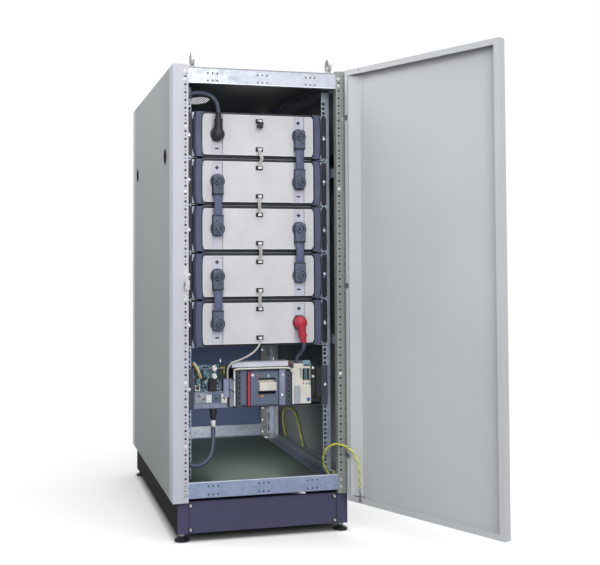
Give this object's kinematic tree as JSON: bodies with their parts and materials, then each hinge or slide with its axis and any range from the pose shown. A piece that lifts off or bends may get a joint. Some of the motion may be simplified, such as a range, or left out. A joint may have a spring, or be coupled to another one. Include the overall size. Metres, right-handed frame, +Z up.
{
  "type": "battery rack cabinet",
  "caption": "Open light-grey cabinet on a plinth, with battery modules joined in series above a switch chassis",
  "frame": {"origin": "On the floor, at the middle of the cabinet's plan", "axes": "+X to the viewer's right when facing the open front, +Y from the front to the back, +Z up"},
  "size_m": [0.8666, 1.5592, 1.559],
  "materials": {
    "grey_paint": "satin powder coat",
    "plinth_paint": "satin powder coat",
    "case_paint": "satin",
    "cell_metal": "plain cans",
    "galvanised": "galvanised sheet",
    "zinc_steel": "zinc plated",
    "dark_metal": "dark passivated sheet",
    "terminal_metal": "tinned",
    "cream_plastic": "fine texture",
    "blue_plastic": "satin",
    "white_plastic": "satin",
    "dark_plastic": "satin",
    "black_plastic": "satin",
    "slate_plastic": "satin",
    "board_plastic": "solder mask",
    "red_plastic": "satin",
    "black_rubber": "matte",
    "grey_rubber": "matte",
    "earth_rubber": "matte, yellow and green"
  },
  "bodies": {
    "cabinet": {"battery_bezels": "blue_plastic", "battery_case_1": "case_paint", "battery_case_2": "case_paint", "battery_case_3": "case_paint", "battery_case_4": "case_paint", "battery_case_5": "case_paint", "battery_cells": "cell_metal", "battery_ears": "dark_metal", "battery_fronts": "cream_plastic", "battery_terminals": "terminal_metal", "black_cable_heads": "black_plastic", "bottom_rail_front": "galvanised", "breaker_body": "dark_plastic", "cable_duct": "slate_plastic", "chassis_ears": "dark_metal", "chassis_tray": "dark_metal", "contactor": "white_plastic", "control_board": "board_plastic", "data_cables": "grey_rubber", "data_plugs": "black_plastic", "data_ports": "black_plastic", "earth_strap": "earth_rubber", "frame_fittings": "zinc_steel", "frame_hinges": "zinc_steel", "frame_rails": "galvanised", "lifting_eyes": "zinc_steel", "link_straps": "black_rubber", "minus_cable": "black_rubber", "panel_lock_cups": "black_plastic", "plinth_corners": "plinth_paint", "plinth_panels": "plinth_paint", "plus_cable": "grey_rubber", "rack_rail_front_left": "galvanised", "rack_rail_front_right": "galvanised", "rear_panel": "grey_paint", "red_cable_head": "red_plastic", "roof_panel": "grey_paint", "side_panel_left": "grey_paint", "side_panel_right": "grey_paint", "terminal_blocks": "black_plastic", "top_rail_front": "galvanised", "upright_front_left": "grey_paint", "upright_front_right": "grey_paint", "uprights_rear": "grey_paint"},
    "door": {"door_pan": "grey_paint", "door_stiffener": "grey_paint", "door_fittings": "zinc_steel"},
    "door_latch": {"door_handle": "black_plastic", "latch_cam": "zinc_steel"},
    "breaker_toggle_body": {"breaker_toggle": "white_plastic"},
    "button_upper_body": {"button_upper": "white_plastic"},
    "button_lower_body": {"button_lower": "white_plastic"},
    "foot_body_front_left": {"foot_front_left": "zinc_steel"},
    "foot_body_front_right": {"foot_front_right": "zinc_steel"},
    "foot_body_rear_left": {"foot_rear_left": "zinc_steel"},
    "foot_body_rear_right": {"foot_rear_right": "zinc_steel"},
    "lock_body_left_front": {"panel_lock_left_front": "black_plastic"},
    "lock_body_left_rear": {"panel_lock_left_rear": "black_plastic"},
    "lock_body_right_front": {"panel_lock_right_front": "black_plastic"},
    "lock_body_right_rear": {"panel_lock_right_rear": "black_plastic"}
  },
  "joints": [
    {"name": "door_hinge", "type": "hinge", "parent": "cabinet", "child": "door", "pos_m": [0.291, -0.521, 0.8105], "axis": [0, 0, 1], "range_deg": [-116, 3], "deforming": ["earth_strap"]},
    {"name": "door_latch_turn", "type": "hinge", "parent": "door", "child": "door_latch", "pos_m": [0.54856, -1.02901, 0.8105], "axis": [0.8988, 0.4384, 0], "range_deg": [0, 90]},
    {"name": "breaker_toggle_turn", "type": "hinge", "parent": "cabinet", "child": "breaker_toggle_body", "pos_m": [0.0275, -0.403, 0.47205], "axis": [1, 0, 0], "range_deg": [-20, 20]},
    {"name": "button_upper_press", "type": "slide", "parent": "cabinet", "child": "button_upper_body", "axis": [0, 1, 0], "range_m": [0, 0.002], "stiffness_N_per_m": 500},
    {"name": "button_lower_press", "type": "slide", "parent": "cabinet", "child": "button_lower_body", "axis": [0, 1, 0], "range_m": [0, 0.002], "stiffness_N_per_m": 500},
    {"name": "foot_front_left_height", "type": "slide", "parent": "cabinet", "child": "foot_body_front_left", "axis": [0, 0, -1], "range_m": [0, 0.02]},
    {"name": "foot_front_right_height", "type": "slide", "parent": "cabinet", "child": "foot_body_front_right", "axis": [0, 0, -1], "range_m": [0, 0.02]},
    {"name": "foot_rear_left_height", "type": "slide", "parent": "cabinet", "child": "foot_body_rear_left", "axis": [0, 0, -1], "range_m": [0, 0.02]},
    {"name": "foot_rear_right_height", "type": "slide", "parent": "cabinet", "child": "foot_body_rear_right", "axis": [0, 0, -1], "range_m": [0, 0.02]},
    {"name": "lock_left_front_turn", "type": "hinge", "parent": "cabinet", "child": "lock_body_left_front", "pos_m": [-0.29, -0.35, 1.233], "axis": [1, 0, 0], "range_deg": [0, 90]},
    {"name": "lock_left_rear_turn", "type": "hinge", "parent": "cabinet", "child": "lock_body_left_rear", "pos_m": [-0.29, 0.35, 1.233], "axis": [-1, 0, 0], "range_deg": [0, 90]},
    {"name": "lock_right_front_turn", "type": "hinge", "parent": "cabinet", "child": "lock_body_right_front", "pos_m": [0.29, -0.35, 1.233], "axis": [1, 0, 0], "range_deg": [0, 90]},
    {"name": "lock_right_rear_turn", "type": "hinge", "parent": "cabinet", "child": "lock_body_right_rear", "pos_m": [0.29, 0.35, 1.233], "axis": [-1, 0, 0], "range_deg": [0, 90]}
  ]
}
